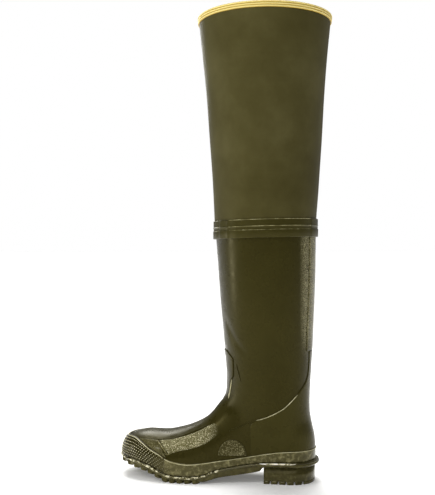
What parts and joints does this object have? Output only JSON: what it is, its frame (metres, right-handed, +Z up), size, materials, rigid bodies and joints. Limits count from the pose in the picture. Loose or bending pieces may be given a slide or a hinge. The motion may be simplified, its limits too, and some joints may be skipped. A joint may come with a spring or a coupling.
{
  "type": "hip wader",
  "caption": "Tall moulded rubber boot with a tapered thigh leg joined at the knee, a bound collar, a toe bumper and a lugged sole with a heel.",
  "frame": {"origin": "on the floor plane under the middle of the leg, on the ground face of the heel near its front edge", "axes": "+Z up along the leg, -X towards the toe, -Y towards the outer side of this left boot"},
  "size_m": [0.3478, 0.2086, 0.74],
  "materials": {
    "moulded_rubber": "satin, smooth moulded rubber",
    "sole_rubber": "satin, cleated rubber",
    "stippled_rubber": "fine stipple",
    "rubberised_cloth": "dull rubber-coated cloth",
    "collar_tape": "ribbed yellow tape",
    "insole_felt": "pressed felt"
  },
  "bodies": {
    "root": {"upper": "moulded_rubber", "insole": "insole_felt", "outsole": "sole_rubber", "heel": "sole_rubber", "toe_bumper": "sole_rubber", "foxing": "moulded_rubber", "heel_counter": "moulded_rubber", "back_stay": "moulded_rubber", "front_tab": "moulded_rubber", "vamp_panel_outer": "stippled_rubber", "vamp_panel_inner": "stippled_rubber", "toe_wing_outer": "moulded_rubber", "toe_wing_inner": "moulded_rubber", "ankle_patch": "stippled_rubber", "thigh_leg": "rubberised_cloth", "knee_band": "rubberised_cloth", "collar_binding": "collar_tape"}
  },
  "joints": []
}
